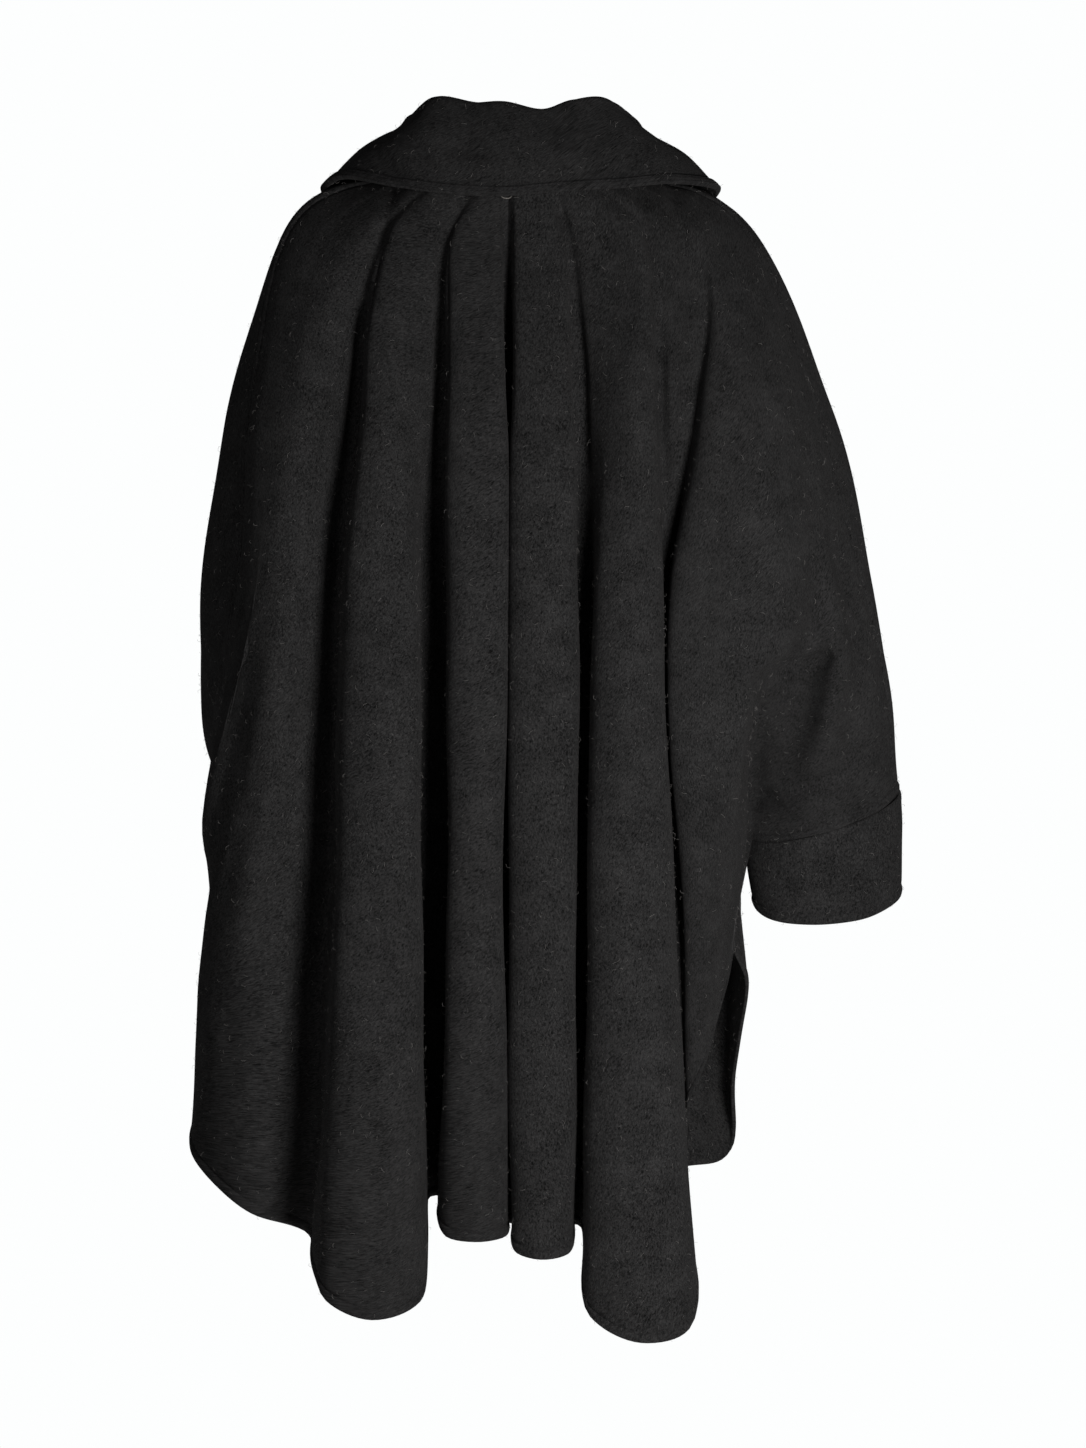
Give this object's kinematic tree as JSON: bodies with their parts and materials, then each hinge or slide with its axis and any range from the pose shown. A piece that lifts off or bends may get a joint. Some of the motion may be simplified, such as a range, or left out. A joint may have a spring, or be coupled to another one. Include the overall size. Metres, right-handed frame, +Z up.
{
  "type": "wool cape coat",
  "caption": "Black wool cape coat in its worn shape: wide pleated back, sleeves cut with the panels, fold-over collar, turned cuffs and an uneven hem.",
  "frame": {"origin": "the middle of the neck opening at shoulder level, where the coat rests on its wearer or a hanger", "axes": "+Z up, -Y out of the coat's back, +X to the wearer's right"},
  "size_m": [0.6185, 0.4392, 1.0678],
  "materials": {
    "wool": "brushed black wool coating, soft matt nap"
  },
  "bodies": {
    "root": {"back_left": "wool", "back_right": "wool", "front_left": "wool", "front_right": "wool", "collar": "wool", "cuff_left": "wool", "cuff_right": "wool"}
  },
  "joints": []
}
